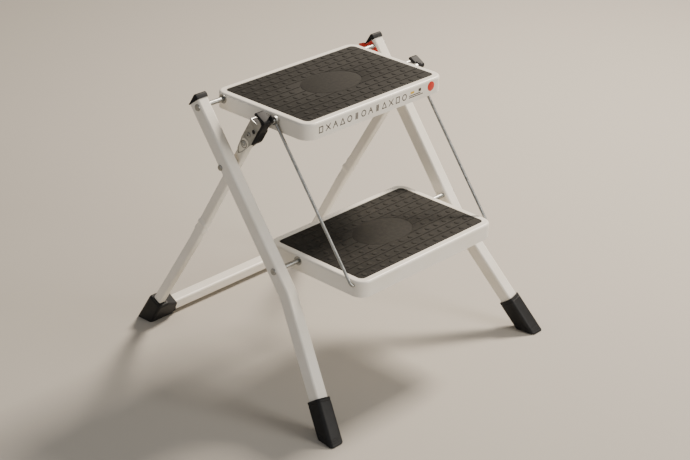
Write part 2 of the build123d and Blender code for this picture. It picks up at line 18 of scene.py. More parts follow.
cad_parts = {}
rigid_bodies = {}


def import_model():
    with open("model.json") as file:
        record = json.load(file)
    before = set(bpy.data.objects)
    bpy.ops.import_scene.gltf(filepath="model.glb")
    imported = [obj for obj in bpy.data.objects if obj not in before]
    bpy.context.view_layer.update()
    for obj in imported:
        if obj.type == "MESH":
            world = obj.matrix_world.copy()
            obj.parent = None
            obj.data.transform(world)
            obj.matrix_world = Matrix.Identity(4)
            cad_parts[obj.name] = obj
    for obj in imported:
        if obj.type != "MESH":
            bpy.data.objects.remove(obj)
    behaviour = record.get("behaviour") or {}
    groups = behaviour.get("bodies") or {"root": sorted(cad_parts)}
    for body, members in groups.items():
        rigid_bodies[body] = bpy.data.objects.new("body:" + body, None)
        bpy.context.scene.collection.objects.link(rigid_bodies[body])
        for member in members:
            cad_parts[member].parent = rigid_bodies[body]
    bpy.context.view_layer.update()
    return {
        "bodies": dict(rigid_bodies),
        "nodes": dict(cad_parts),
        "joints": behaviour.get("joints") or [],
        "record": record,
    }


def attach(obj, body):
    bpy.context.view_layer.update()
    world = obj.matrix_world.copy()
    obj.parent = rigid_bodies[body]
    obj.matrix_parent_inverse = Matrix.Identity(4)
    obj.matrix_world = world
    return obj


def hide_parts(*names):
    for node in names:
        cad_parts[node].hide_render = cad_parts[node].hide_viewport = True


LOG = logging.getLogger("step_ladder")
MM = 0.001
CRISP_ANGLE = 38.0
MERGE_DISTANCE = 1e-6

Point2 = tuple[float, float]
Point3 = tuple[float, float, float]
Colour = tuple[float, float, float, float]

ACROSS = Vector((1, 0, 0))
LEFTWARDS = Vector((-1, 0, 0))
UP = Vector((0, 0, 1))


class Side(Enum):
    """Which side of the ladder a piece belongs to, as the sign of its X."""

    LEFT = -1
    RIGHT = 1

    @property
    def word(self) -> str:
        """The side's name as it ends a node or a piece name."""
        return self.name.lower()


# ------------------------------------------------------------------ local frames and outlines


@dataclass(frozen=True)
class Datum:
    """A local frame: its origin in metres in the row frame, and three unit axes."""

    origin: Vector
    x_axis: Vector
    y_axis: Vector
    z_axis: Vector

    def point(self, x: float, y: float, z: float = 0.0) -> Vector:
        """The row-frame point at x, y, z millimetres along the datum's axes."""
        return self.origin + MM * (x * self.x_axis + y * self.y_axis + z * self.z_axis)

    def moved(self, x: float, y: float, z: float = 0.0) -> "Datum":
        """The same axes with the origin moved by x, y, z millimetres."""
        return Datum(self.point(x, y, z), self.x_axis, self.y_axis, self.z_axis)


def datum(origin_mm: Sequence[float], x_axis: Vector, z_axis: Vector) -> Datum:
    """Make a local frame from an origin, a rough X and an exact Z.

    Args:
        origin_mm: Origin in millimetres in the row frame.
        x_axis: Direction that X should follow; the part of it along Z is dropped.
        z_axis: Direction of Z.

    Returns:
        The frame, right-handed.
    """
    z_unit = z_axis.normalized()
    x_unit = (x_axis - z_unit * x_axis.dot(z_unit)).normalized()
    return Datum(Vector(origin_mm) * MM, x_unit, z_unit.cross(x_unit), z_unit)


@dataclass(frozen=True)
class LadderLines:
    """The lines that the ladder is set out on, in millimetres and degrees."""

    top_rod: Point2 = (88.34, 440.5)
    pivot: Point2 = (37.708, 355.229)
    front_slope: float = 52.637
    rear_slope: float = 60.1
    leg_x: float = 203.0
    leg_size: Point2 = (22.0, 24.0)
    leg_back: float = 4.0
    leg_bend: float = 321.0
    leg_splay: float = 11.3
    rear_x: float = 177.0
    rear_size: Point2 = (15.0, 16.0)
    rear_bend: float = 200.0
    rear_splay: float = 3.7

    def front_plane(self) -> Datum:
        """Frame with X across, Y up along the front legs and Z out of their front faces.

        Returns:
            The frame, with its origin on the top rod.
        """
        slope = math.radians(self.front_slope)
        normal = Vector((0, -math.sin(slope), math.cos(slope)))
        return datum((0, *self.top_rod), ACROSS, normal)

    def rear_plane(self) -> Datum:
        """Frame with X across, Y up along the rear legs and Z out of their front faces.

        Returns:
            The frame, with its origin on the pivot.
        """
        slope = math.radians(self.rear_slope)
        normal = Vector((0, -math.sin(slope), -math.cos(slope)))
        return datum((0, *self.pivot), ACROSS, normal)

    def rear_side(self) -> Datum:
        """X forward of the rear leg, Y up along it, Z out to the left, through the pivot."""
        return datum((0, *self.pivot), self.rear_plane().z_axis, LEFTWARDS)

    def lower_leg_x(self, along: float) -> float:
        """Centre of the left front leg at a distance below the top rod."""
        return -self.leg_x - (along - self.leg_bend) * math.tan(math.radians(self.leg_splay))

    def rear_leg_x(self, along: float) -> float:
        """Centre of the left rear leg at a distance below the pivot."""
        spread = max(0.0, along - self.rear_bend) * math.tan(math.radians(self.rear_splay))
        return -self.rear_x - spread

    def lower_leg(self, along: float) -> Datum:
        """Frame on the left front leg's splayed part, with Z down along it.

        Args:
            along: Distance of its origin below the top rod.

        Returns:
            The frame.
        """
        splay = math.radians(self.leg_splay)
        plane = self.front_plane()
        down = -math.sin(splay) * plane.x_axis - math.cos(splay) * plane.y_axis
        origin = plane.point(self.lower_leg_x(along), -along, -self.leg_back)
        return datum(origin / MM, ACROSS, down)


LINES = LadderLines()


def rounded_rectangle(width: float, depth: float, radius: float, steps: int = 5) -> list[Point2]:
    """Outline of a rectangle with round corners, anticlockwise round its centre.

    Args:
        width: Size along X.
        depth: Size along Y.
        radius: Corner radius.
        steps: Segments in each corner.

    Returns:
        The outline's points.
    """
    radius = min(radius, width / 2 - 0.01, depth / 2 - 0.01)
    corners = ((1, 1, 0), (-1, 1, 90), (-1, -1, 180), (1, -1, 270))
    outline = []
    for sign_x, sign_y, start in corners:
        for step in range(steps + 1):
            angle = math.radians(start + 90 * step / steps)
            outline.append(
                (
                    sign_x * (width / 2 - radius) + radius * math.cos(angle),
                    sign_y * (depth / 2 - radius) + radius * math.sin(angle),
                )
            )
    return outline


def circle(radius: float, steps: int = 32, centre: Point2 = (0, 0)) -> list[Point2]:
    """Outline of a circle, anticlockwise from its rightmost point."""
    turns = (2 * math.pi * step / steps for step in range(steps))
    return [(centre[0] + radius * math.cos(t), centre[1] + radius * math.sin(t)) for t in turns]


def signed_area(outline: Sequence[Point2]) -> float:
    """Area of an outline, positive when it runs anticlockwise."""
    pairs = zip(outline, list(outline[1:]) + [outline[0]])
    return sum(a[0] * b[1] - b[0] * a[1] for a, b in pairs) / 2


def inset(outline: Sequence[Point2], distance: float) -> list[Point2]:
    """Move an anticlockwise outline inwards.

    Args:
        outline: Closed outline.
        distance: How far each side moves in.

    Returns:
        The moved outline, point for point.
    """
    moved = []
    count = len(outline)
    for index in range(count):
        before, here, after = outline[index - 1], outline[index], outline[(index + 1) % count]
        first = Vector((here[0] - before[0], here[1] - before[1])).normalized()
        second = Vector((after[0] - here[0], after[1] - here[1])).normalized()
        normal_a, normal_b = Vector((-first.y, first.x)), Vector((-second.y, second.x))
        scale = distance / max(0.35, 1 + normal_a.dot(normal_b))
        step_x, step_y = (normal_a.x + normal_b.x) * scale, (normal_a.y + normal_b.y) * scale
        moved.append((here[0] + step_x, here[1] + step_y))
    return moved


def rounded_outline(corners: Sequence[Point2], radius: float, steps: int = 4) -> list[Point2]:
    """Round the corners of a polygon.

    Args:
        corners: The polygon's corners, either way round.
        radius: Corner radius, made smaller where the sides are too short for it.
        steps: Segments in each corner.

    Returns:
        The outline, anticlockwise.
    """
    points = list(corners) if signed_area(corners) > 0 else list(reversed(corners))
    outline = []
    count = len(points)
    for index, corner in enumerate(points):
        here = Vector(corner)
        to_before = Vector(points[index - 1]) - here
        to_after = Vector(points[(index + 1) % count]) - here
        reach = min(radius, 0.45 * to_before.length, 0.45 * to_after.length)
        start, end = here + to_before.normalized() * reach, here + to_after.normalized() * reach
        for step in range(steps + 1):
            t = step / steps
            point = (1 - t) ** 2 * start + 2 * t * (1 - t) * here + t**2 * end
            outline.append((point.x, point.y))
    return outline


# ------------------------------------------------------------------ mesh making


class Shell:
    """Vertices and faces of a piece, gathered as closed shells from rings of points."""

    def __init__(self) -> None:
        """Start with nothing."""
        self.points: list[Vector] = []
        self.faces: list[list[int]] = []
        self.slots: list[int] = []

    def add_ring(self, ring: Sequence[Vector]) -> list[int]:
        """Add a ring of points.

        Args:
            ring: The points, in order round the ring.

        Returns:
            Their numbers.
        """
        start = len(self.points)
        self.points.extend(ring)
        return list(range(start, start + len(ring)))

    def loft(self, rings: Sequence[Sequence[Vector]], slot: int = 0) -> None:
        """Join rings of equal count into a closed shell with a cap at each end.

        Args:
            rings: Rings in order from one end to the other.
            slot: Material slot of the faces.
        """
        numbers = [self.add_ring(ring) for ring in rings]
        count = len(numbers[0])
        new_faces = [list(reversed(numbers[0])), list(numbers[-1])]
        for lower, upper in zip(numbers, numbers[1:]):
            for k in range(count):
                after = (k + 1) % count
                new_faces.append([lower[k], lower[after], upper[after], upper[k]])
        self.faces.extend(new_faces)
        self.slots.extend([slot] * len(new_faces))

    def plate(
        self,
        outline: Sequence[Point2],
        place: Datum,
        low: float,
        high: float,
        round_low: float = 0.0,
        round_high: float = 0.0,
        steps: int = 3,
        slot: int = 0,
    ) -> None:
        """Extrude an outline along a datum's Z, with rounded edges.

        Args:
            outline: Anticlockwise outline in the datum's X and Y.
            place: Datum.
            low: Z of the lower face.
            high: Z of the upper face.
            round_low: Edge radius at the lower face.
            round_high: Edge radius at the upper face.
            steps: Segments in each rounded edge.
            slot: Material slot.
        """
        levels = edge_levels(low, round_low, steps) if round_low else [(low, 0.0)]
        top = edge_levels(-high, round_high, steps) if round_high else [(-high, 0.0)]
        levels += [(-level, step_in) for level, step_in in reversed(top)]
        rings = []
        for level, step_in in levels:
            ring = inset(outline, step_in) if step_in else outline
            rings.append([place.point(x, y, level) for x, y in ring])
        self.loft(rings, slot)

    def block(
        self,
        corners: Sequence[Point2],
        corner_radius: float,
        place: Datum,
        span: Point2,
        edges: Point2,
        steps: int,
    ) -> None:
        """Extrude a polygon along a datum's Z, with its corners and its edges rounded.

        Args:
            corners: The polygon's corners in the datum's X and Y.
            corner_radius: Radius of the corners.
            place: Datum.
            span: Z of the lower and of the upper face.
            edges: Edge radius at the lower and at the upper face.
            steps: Segments in each rounding.
        """
        self.plate(rounded_outline(corners, corner_radius, steps), place, *span, *edges, steps)

    def build(
        self,
        name: str,
        materials: Sequence[bpy.types.Material],
        side: Side = Side.LEFT,
        sharp: float = CRISP_ANGLE,
    ) -> bpy.types.Object:
        """Turn the shells into an object at the origin.

        Args:
            name: Object name.
            materials: One material for each slot.
            side: The right side mirrors the shells across X = 0.
            sharp: Edges steeper than this many degrees stay crisp.

        Returns:
            The object, linked to the scene.
        """
        sign = -1 if side is Side.RIGHT else 1
        mesh = bpy.data.meshes.new(name)
        mesh.from_pydata([(sign * p.x, p.y, p.z) for p in self.points], [], self.faces)
        for polygon, slot in zip(mesh.polygons, self.slots):
            polygon.material_index = slot
        return finished(name, mesh, materials, sharp)


def edge_levels(level: float, radius: float, steps: int) -> list[tuple[float, float]]:
    """Heights and insets of a rounded edge that starts at a face.

    Args:
        level: Height of the face.
        radius: Edge radius.
        steps: Segments.

    Returns:
        Pairs of height and inset, from the face outwards.
    """
    turns = [math.radians(90 * step / steps) for step in range(steps + 1)]
    return [(level + radius * (1 - math.cos(t)), radius * (1 - math.sin(t))) for t in turns]


def finished(
    name: str, mesh: bpy.types.Mesh, materials: Sequence[bpy.types.Material], sharp: float
) -> bpy.types.Object:
    """Merge doubles, face the normals outwards, shade and link a mesh.

    Args:
        name: Object name.
        mesh: The mesh, with its place in its vertices.
        materials: Materials by slot.
        sharp: Angle in degrees past which an edge is drawn crisp.

    Returns:
        The linked object.
    """
    work = bmesh.new()
    work.from_mesh(mesh)
    bmesh.ops.remove_doubles(work, verts=work.verts, dist=MERGE_DISTANCE)
    bmesh.ops.recalc_face_normals(work, faces=work.faces)
    work.to_mesh(mesh)
    work.free()
    for material in materials:
        mesh.materials.append(material)
    mesh.shade_smooth()
    mesh.set_sharp_from_angle(angle=math.radians(sharp))
    piece = bpy.data.objects.new(name, mesh)
    bpy.context.scene.collection.objects.link(piece)
    return piece


def dress(piece: bpy.types.Object, body: str, replaced: Sequence[str] = ()) -> None:
    """Let a piece ride on its body, and hide what it stands for.

    Args:
        piece: The finished piece.
        body: CAD body.
        replaced: CAD nodes that the piece stands for.
    """
    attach(piece, body)
    if replaced:
        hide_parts(*replaced)
    LOG.info("piece %s on %s: %d faces", piece.name, body, len(piece.data.polygons))


# ------------------------------------------------------------------ finishes


def linear(hex_colour: str) -> Colour:
    """Turn an sRGB colour into a linear one.

    Args:
        hex_colour: Colour such as #F2EEE6.

    Returns:
        Linear red, green and blue, and an alpha of one.
    """
    channels = [int(hex_colour.lstrip("#")[k : k + 2], 16) / 255 for k in (0, 2, 4)]
    parts = [c / 12.92 if c <= 0.04045 else ((c + 0.055) / 1.055) ** 2.4 for c in channels]
    return (*parts, 1.0)


def add_node(
    tree: bpy.types.NodeTree,
    kind: str,
    settings: Optional[Mapping[str, Any]] = None,
    inputs: Optional[Mapping[Union[str, int], Any]] = None,
) -> bpy.types.Node:
    """Add a node with its settings, values and links.

    Args:
        tree: Shader or geometry tree.
        kind: Node type.
        settings: Properties of the node.
        inputs: Values or output sockets by input name or number.

    Returns:
        The node.
    """
    node = tree.nodes.new(kind)
    for key, value in (settings or {}).items():
        setattr(node, key, value)
    for key, value in (inputs or {}).items():
        if isinstance(value, bpy.types.NodeSocket):
            tree.links.new(value, node.inputs[key])
        else:
            node.inputs[key].default_value = value
    return node


def shader(
    name: str, constants: Mapping[str, Any]
) -> tuple[bpy.types.Material, bpy.types.Node, bpy.types.NodeSocket]:
    """Start a material with one Principled shader.

    Args:
        name: Material name.
        constants: Values set directly on the shader's sockets.

    Returns:
        The material, its Principled node and the Object coordinate socket.
    """
    material = bpy.data.materials.new(name)
    material.use_nodes = True
    tree = material.node_tree
    tree.nodes.clear()
    principled = add_node(tree, "ShaderNodeBsdfPrincipled", inputs=constants)
    add_node(tree, "ShaderNodeOutputMaterial", inputs={"Surface": principled.outputs["BSDF"]})
    coordinates = add_node(tree, "ShaderNodeTexCoord")
    return material, principled, coordinates.outputs["Object"]


def mottle(
    material: bpy.types.Material,
    principled: bpy.types.Node,
    place: bpy.types.NodeSocket,
    grain_mm: float,
    colours: tuple[str, str],
    detail: float = 3.0,
) -> None:
    """Vary the base colour softly between two close tones.

    Args:
        material: The material.
        principled: Its shader.
        place: Coordinate socket.
        grain_mm: Size of a patch.
        colours: The two sRGB tones.
        detail: Octaves of the noise.
    """
    tree = material.node_tree
    sizes = {"Vector": place, "Scale": 1 / (grain_mm * MM), "Detail": detail}
    noise = add_node(tree, "ShaderNodeTexNoise", inputs=sizes)
    ramp = add_node(tree, "ShaderNodeValToRGB", inputs={"Fac": noise.outputs["Fac"]})
    for stop, position, colour in zip(ramp.color_ramp.elements, (0.35, 0.65), colours):
        stop.position, stop.color = position, linear(colour)
    tree.links.new(ramp.outputs["Color"], principled.inputs["Base Color"])


def grain(
    material: bpy.types.Material,
    principled: bpy.types.Node,
    place: bpy.types.NodeSocket,
    grain_mm: float,
    depth_mm: float,
    detail: float = 2.0,
) -> None:
    """Give the surface a fine relief.

    Args:
        material: The material.
        principled: Its shader.
        place: Coordinate socket.
        grain_mm: Size of a bump.
        depth_mm: Height of a bump.
        detail: Octaves of the noise.
    """
    tree = material.node_tree
    sizes = {"Vector": place, "Scale": 1 / (grain_mm * MM), "Detail": detail}
    noise = add_node(tree, "ShaderNodeTexNoise", inputs=sizes)
    relief = {"Height": noise.outputs["Fac"], "Distance": depth_mm * MM, "Strength": 1.0}
    bump = add_node(tree, "ShaderNodeBump", inputs=relief)
    tree.links.new(bump.outputs["Normal"], principled.inputs["Normal"])


@dataclass(frozen=True)
class PowderCoat:
    """Polyester powder coat on steel: satin, faintly orange-peeled, so highlights are broad."""

    tone: str = "#F5F0E6"
    shade: str = "#F0EADD"
    cloud_mm: float = 60
    orange_peel_mm: float = 2.2
    peel_depth_mm: float = 0.012

    def build(self) -> bpy.types.Material:
        """Make the material.

        Returns:
            The material, named for what it is.
        """
        constants = {"Roughness": 0.36, "IOR": 1.5, "Base Color": linear(self.tone)}
        material, principled, place = shader("polyester powder coat on steel", constants)
        mottle(material, principled, place, self.cloud_mm, (self.shade, self.tone))
        grain(material, principled, place, self.orange_peel_mm, self.peel_depth_mm)
        return material


@dataclass(frozen=True)
class ZincPlate:
    """Bright zinc plate on steel: a metal gloss, slightly cloudy from the bath."""

    tone: str = "#B0B0AD"
    shade: str = "#979894"
    cloud_mm: float = 7
    # The real crystals are far finer than a tenth of a millimetre; drawn coarser so that they show.
    crystal_mm: float = 0.9
    crystal_depth_mm: float = 0.01

    def build(self) -> bpy.types.Material:
        """Make the material.

        Returns:
            The material, named for what it is.
        """
        constants = {"Metallic": 1.0, "Roughness": 0.42, "Base Color": linear(self.tone)}
        material, principled, place = shader("bright zinc plated steel", constants)
        mottle(material, principled, place, self.cloud_mm, (self.shade, self.tone))
        grain(material, principled, place, self.crystal_mm, self.crystal_depth_mm)
        return material


@dataclass(frozen=True)
class MouldedPlastic:
    """Black moulded plastic with a spark-eroded texture: dark, with a grey sheen on its tops."""

    name: str = "moulded black polypropylene"
    tone: str = "#171718"
    shade: str = "#121213"
    roughness: float = 0.62
    cloud_mm: float = 9
    # The real texture is about 0.1 mm; drawn coarser so that it shows.
    texture_mm: float = 0.8
    texture_depth_mm: float = 0.02

    def build(self) -> bpy.types.Material:
        """Make the material.

        Returns:
            The material, named for what it is.
        """
        constants = {
            "Roughness": self.roughness,
            "Specular IOR Level": 0.3,
            "Base Color": linear(self.tone),
        }
        material, principled, place = shader(self.name, constants)
        mottle(material, principled, place, self.cloud_mm, (self.shade, self.tone))
        grain(material, principled, place, self.texture_mm, self.texture_depth_mm)
        return material


@dataclass(frozen=True)
class MatRubber:
    """Moulded charcoal rubber: matt, with a fine grain and faint dust that greys it."""

    tone: str = "#2E2C27"
    shade: str = "#252320"
    dust_mm: float = 5
    # The real grain is about 0.3 mm; drawn coarser so that it shows.
    grain_mm: float = 1.1
    grain_depth_mm: float = 0.05

    def build(self) -> bpy.types.Material:
        """Make the material.

        Returns:
            The material, named for what it is.
        """
        constants = {
            "Roughness": 0.85,
            "Specular IOR Level": 0.25,
            "Base Color": linear(self.tone),
        }
        material, principled, place = shader("moulded charcoal rubber", constants)
        mottle(material, principled, place, self.dust_mm, (self.shade, self.tone), detail=6)
        grain(material, principled, place, self.grain_mm, self.grain_depth_mm, detail=4)
        return material


@dataclass(frozen=True)
class PrintedFilm:
    """Printed vinyl film or ink: one even colour with a low gloss."""

    name: str
    tone: str
    roughness: float = 0.4
    ripple_mm: float = 1.5
    ripple_depth_mm: float = 0.004

    def build(self) -> bpy.types.Material:
        """Make the material.

        Returns:
            The material, named for what it is.
        """
        constants = {"Roughness": self.roughness, "IOR": 1.46, "Base Color": linear(self.tone)}
        material, principled, place = shader(self.name, constants)
        grain(material, principled, place, self.ripple_mm, self.ripple_depth_mm)
        return material


@dataclass(frozen=True)
class PaleFloor:
    """Plain pale studio floor: matt and slightly warm, a little darker than the ladder's coat."""

    tone: str = "#B7B1A7"

    def build(self) -> bpy.types.Material:
        """Make the material.

        Returns:
            The material, named for what it is.
        """
        constants = {"Roughness": 0.8, "IOR": 1.45, "Base Color": linear(self.tone)}
        return shader("matt pale floor", constants)[0]


class FinishSet:
    """All the ladder's finishes, made once."""

    def __init__(self) -> None:
        """Build each finish."""
        self.coat = PowderCoat().build()
        self.zinc = ZincPlate().build()
        self.plastic = MouldedPlastic().build()
        self.boot = MouldedPlastic(
            "moulded black boot elastomer", "#1B1B1C", "#141415", roughness=0.55, texture_mm=1.0
        ).build()
        self.mat = MatRubber().build()
        self.red = PrintedFilm("printed red vinyl film", "#CF2A1A").build()
        # Pale film: painted highlight on the lower end of each leg head's outer plate.
        self.pale = PrintedFilm("printed pale vinyl film", "#E6DFCF").build()
        self.ink = PrintedFilm("dark brown screen ink", "#2B1D13", 0.5).build()
        self.yellow = PrintedFilm("yellow screen ink", "#D9B23A", 0.5).build()

    def by_slot(self) -> dict[str, bpy.types.Material]:
        """Pair each of the record's material slots with its finish.

        Returns:
            Finishes by slot.
        """
        return {
            "powder_coat": self.coat,
            "zinc": self.zinc,
            "plastic": self.plastic,
            "foot_rubber": self.boot,
            "mat_rubber": self.mat,
        }


# ------------------------------------------------------------------ step mats


@dataclass
class StepMat:
    """Ribbed mat: long bands between grooves, round grip buttons and a plain oval in the middle."""

    body: str
    node: str
    centre: Point3
    length: float = 296.6
    depth: float = 181.6
    corner: float = 8.8
    thickness: float = 3.0
    bands: int = 10
    groove: float = 1.6
    groove_depth: float = 0.9
    oval: Point2 = (57.0, 38.5)
    rim_width: float = 1.2
    edge_round: float = 0.35
    slab_round: float = 0.3
    sunk: float = 0.2
    border_level: float = -0.4
    oval_level: float = -0.05
    button_radius: float = 4.3
    button_height: float = 0.8
    button_foot: float = -0.3
    button_round: float = 0.55
    button_pitch: float = 21.2
    buttons_across: int = 13

    @property
    def pitch(self) -> float:
        """Distance between band centres."""
        return self.depth / self.bands

    def half_width(self, y: float, step_in: float = 0.0) -> float:
        """Half the mat's length at a distance from its middle, inside its round corners.

        Args:
            y: Distance from the middle.
            step_in: How far inside the mat's own edge.

        Returns:
            Half the length there.
        """
        past = abs(y) - (self.depth / 2 - self.corner)
        half = self.length / 2 - step_in
        if past <= 0:
            return half
        return half - self.corner + math.sqrt(max(0.0, self.corner**2 - past**2))

    def oval_width(self, y: float) -> float:
        """Half the length of the plain oval and its groove at a distance from the middle."""
        long_half, short_half = self.oval[0] + self.groove, self.oval[1] + self.groove
        return long_half * math.sqrt(max(0.0, 1 - (y / short_half) ** 2))

    def band_outlines(self, low: float, high: float) -> list[list[Point2]]:
        """Outlines of one band, cut where it meets the oval.

        Args:
            low: Where the band starts, from the mat's middle.
            high: Where it ends.

        Returns:
            One outline, or two where the oval parts the band.
        """
        short_half = self.oval[1] + self.groove
        levels = [low + (high - low) * k / 8 for k in range(9)]
        right = [(self.half_width(y, self.rim_width), y) for y in levels]
        left = [(-x, y) for x, y in reversed(right)]
        if min(abs(low), abs(high)) >= short_half:
            return [right + left]
        if max(abs(low), abs(high)) < short_half:
            inner = [(self.oval_width(y), y) for y in reversed(levels)]
            half = right + inner
            return [half, [(-x, y) for x, y in reversed(half)]]
        sign = 1 if low + high > 0 else -1
        near = min(abs(low), abs(high))
        reach = math.acos(near / short_half)
        turns = [reach * k / 10 for k in range(-10, 11)]
        long_half = self.oval_width(0)
        arc = [(long_half * math.sin(t), sign * short_half * math.cos(t)) for t in turns]
        return [right + left + arc] if sign > 0 else [right + arc[::-1] + left]

    def staggered_rows(
        self, tree: bpy.types.NodeTree, given: bpy.types.NodeOutputs
    ) -> bpy.types.NodeSocket:
        """Add the nodes that set points out in a grid, every second row moved along.

        Args:
            tree: The button tree.
            given: Its inputs.

        Returns:
            The points.
        """
        sizes = {
            "Size X": given["Length"],
            "Size Y": given["Depth"],
            "Vertices X": self.buttons_across,
            "Vertices Y": self.bands,
        }
        grid = add_node(tree, "GeometryNodeMeshGrid", inputs=sizes)
        value = add_node(tree, "GeometryNodeInputIndex").outputs[0]
        for operation, operand in (
            ("MODULO", float(self.bands)),
            ("MODULO", 2.0),
            ("SUBTRACT", 0.5),
            ("MULTIPLY", given["Stagger"]),
        ):
            kind = {"operation": operation}
            value = add_node(tree, "ShaderNodeMath", kind, {0: value, 1: operand}).outputs[0]
        offset = add_node(tree, "ShaderNodeCombineXYZ", inputs={"X": value})
        moves = {"Geometry": grid.outputs["Mesh"], "Offset": offset.outputs[0]}
        return add_node(tree, "GeometryNodeSetPosition", inputs=moves).outputs[0]

    @staticmethod
    def clear_of_oval(
        tree: bpy.types.NodeTree, given: bpy.types.NodeOutputs, points: bpy.types.NodeSocket
    ) -> bpy.types.NodeSocket:
        """Add the nodes that drop the points on the plain oval.

        Args:
            tree: The button tree.
            given: Its inputs.
            points: All the points.

        Returns:
            The points off the oval.
        """
        place = add_node(tree, "GeometryNodeInputPosition")
        split = add_node(tree, "ShaderNodeSeparateXYZ", inputs={0: place.outputs[0]})
        squares = []
        for axis, size in (("X", "Oval half length"), ("Y", "Oval half depth")):
            value = split.outputs[axis]
            for operation, operand in (("DIVIDE", given[size]), ("POWER", 2.0)):
                kind = {"operation": operation}
                value = add_node(tree, "ShaderNodeMath", kind, {0: value, 1: operand}).outputs[0]
            squares.append(value)
        total = add_node(tree, "ShaderNodeMath", {"operation": "ADD"}, dict(enumerate(squares)))
        less = {"operation": "LESS_THAN"}
        within = add_node(tree, "FunctionNodeCompare", less, {0: total.outputs[0], 1: 1.0})
        dropped = {"Geometry": points, "Selection": within.outputs[0]}
        return add_node(tree, "GeometryNodeDeleteGeometry", {"domain": "POINT"}, dropped).outputs[0]

    def button_tree(self) -> bpy.types.NodeTree:
        """Build the node tree that sets the grip buttons out in staggered rows.

        Returns:
            The tree, with named inputs for its sizes, the button and the finish.
        """
        tree = bpy.data.node_groups.new("grip buttons", "GeometryNodeTree")
        sizes = {
            "Length": (self.buttons_across - 1) * self.button_pitch * MM,
            "Depth": (self.bands - 1) * self.pitch * MM,
            "Stagger": self.button_pitch / 2 * MM,
            "Oval half length": (self.oval[0] + self.groove + self.button_radius) * MM,
            "Oval half depth": (self.oval[1] + self.groove + self.button_radius * 0.7) * MM,
        }
        for name, value in sizes.items():
            socket = tree.interface.new_socket(name, in_out="INPUT", socket_type="NodeSocketFloat")
            socket.default_value = value
        tree.interface.new_socket("Button", in_out="INPUT", socket_type="NodeSocketObject")
        tree.interface.new_socket("Finish", in_out="INPUT", socket_type="NodeSocketMaterial")
        tree.interface.new_socket("Geometry", in_out="OUTPUT", socket_type="NodeSocketGeometry")
        given = add_node(tree, "NodeGroupInput").outputs
        points = self.clear_of_oval(tree, given, self.staggered_rows(tree, given))
        original = {"transform_space": "ORIGINAL"}
        shape = add_node(tree, "GeometryNodeObjectInfo", original, {"Object": given["Button"]})
        pairs = {"Points": points, "Instance": shape.outputs["Geometry"]}
        copies = add_node(tree, "GeometryNodeInstanceOnPoints", inputs=pairs)
        joined = {"Geometry": copies.outputs[0]}
        real = add_node(tree, "GeometryNodeRealizeInstances", inputs=joined)
        dressed = {"Geometry": real.outputs[0], "Material": given["Finish"]}
        painted = add_node(tree, "GeometryNodeSetMaterial", inputs=dressed)
        add_node(tree, "NodeGroupOutput", inputs={"Geometry": painted.outputs[0]})
        return tree

    def buttons(self, name: str, material: bpy.types.Material) -> bpy.types.Object:
        """Make the mat's grip buttons as one piece.

        Args:
            name: Name of the piece.
            material: Finish.

        Returns:
            The piece, at its place on the mat.
        """
        one = Shell()
        flat = datum((0, 0, 0), ACROSS, UP)
        disc = circle(self.button_radius, 20)
        one.plate(disc, flat, self.button_foot, self.button_height, 0, self.button_round, steps=2)
        button = one.build("one button", [material])
        carrier = bpy.data.objects.new("button rows", bpy.data.meshes.new("button rows"))
        bpy.context.scene.collection.objects.link(carrier)
        tree = self.button_tree()
        modifier = carrier.modifiers.new("Grip buttons", "NODES")
        modifier.node_group = tree
        for item in tree.interface.items_tree:
            if item.in_out == "INPUT" and item.name in ("Button", "Finish"):
                modifier[item.identifier] = button if item.name == "Button" else material
        evaluated = carrier.evaluated_get(bpy.context.evaluated_depsgraph_get())
        mesh = bpy.data.meshes.new_from_object(evaluated)
        carrier.modifiers.remove(modifier)
        bpy.data.objects.remove(carrier)
        bpy.data.objects.remove(button)
        mesh.materials.clear()
        mesh.transform(Matrix.Translation(Vector(self.centre) * MM))
        return finished(name, mesh, [material], CRISP_ANGLE)

    def build(self, finishes: FinishSet) -> None:
        """Make the mat and its buttons.

        Args:
            finishes: The ladder's finishes.
        """
        flat = datum(self.centre, ACROSS, UP)
        mat = Shell()
        outline = rounded_rectangle(self.length, self.depth, self.corner, 6)
        slab_top, half_depth = -self.groove_depth, self.depth / 2
        mat.plate(outline, flat, -self.thickness, slab_top, 0, self.slab_round, steps=2)
        foot = slab_top - self.sunk
        for band in range(self.bands):
            start = -half_depth + band * self.pitch + self.groove / 2
            low = max(start, -half_depth + self.rim_width)
            high = min(start + self.pitch - self.groove, half_depth - self.rim_width)
            for part in self.band_outlines(low, high):
                mat.plate(part, flat, foot, 0, 0, self.edge_round, steps=2)
        turns = circle(1, 72)
        (long_half, short_half), wide = self.oval, self.groove
        border = [(long_half * c + wide * c, short_half * s + wide * s) for c, s in turns]
        mat.plate(border, flat, foot, self.border_level)
        oval = [(long_half * c, short_half * s) for c, s in turns]
        mat.plate(oval, flat, foot, self.oval_level, 0, self.edge_round, steps=2)
        slab = mat.build(self.node + "_ribbed", [finishes.mat])
        dress(slab, self.body, [self.node])
        dress(self.buttons(self.node + "_buttons", finishes.mat), self.body)


# ------------------------------------------------------------------ feet and caps


